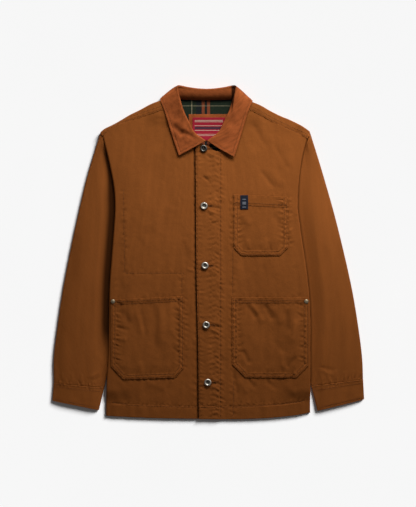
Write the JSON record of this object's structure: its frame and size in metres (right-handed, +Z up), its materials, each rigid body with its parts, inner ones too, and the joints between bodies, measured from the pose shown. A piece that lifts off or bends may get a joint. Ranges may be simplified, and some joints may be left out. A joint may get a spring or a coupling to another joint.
{
  "type": "chore jacket",
  "caption": "Canvas chore jacket, buttoned and laid flat on its back, with a turned-down collar, patch pockets on chest and hem, and straight cuffed sleeves along its sides.",
  "frame": {"origin": "on the surface that the jacket lies on, below the middle of its bounding box", "axes": "+X towards the wearer's left, +Y from the hem to the collar, +Z up from the surface, out of the jacket's front"},
  "size_m": [0.7255, 0.7722, 0.0252],
  "materials": {
    "canvas": "matte cotton canvas in tobacco brown, fine twill weave",
    "collar_cloth": "matte rust-brown cloth with a short nap",
    "check_lining": "soft checked lining in dark green and navy with rust and cream lines",
    "label_cloth": "smooth woven label, red, plain",
    "tab_cloth": "woven tab, dark navy, plain",
    "button_metal": "antiqued nickel, satin, darker in its dish",
    "rivet_metal": "antiqued nickel, dulled and brown"
  },
  "bodies": {
    "root": {"back": "canvas", "yoke": "canvas", "front_right": "canvas", "front_left": "canvas", "sleeve_right": "canvas", "sleeve_left": "canvas", "cuff_right": "canvas", "cuff_left": "canvas", "collar": "collar_cloth", "neck_lining": "check_lining", "label_patch": "collar_cloth", "neck_label": "label_cloth", "chest_pocket": "canvas", "pocket_tab": "tab_cloth", "lower_pocket_right": "canvas", "lower_pocket_left": "canvas", "button_1": "button_metal", "button_2": "button_metal", "button_3": "button_metal", "button_4": "button_metal", "button_5": "button_metal", "rivet_right": "rivet_metal", "rivet_left": "rivet_metal"}
  },
  "joints": []
}
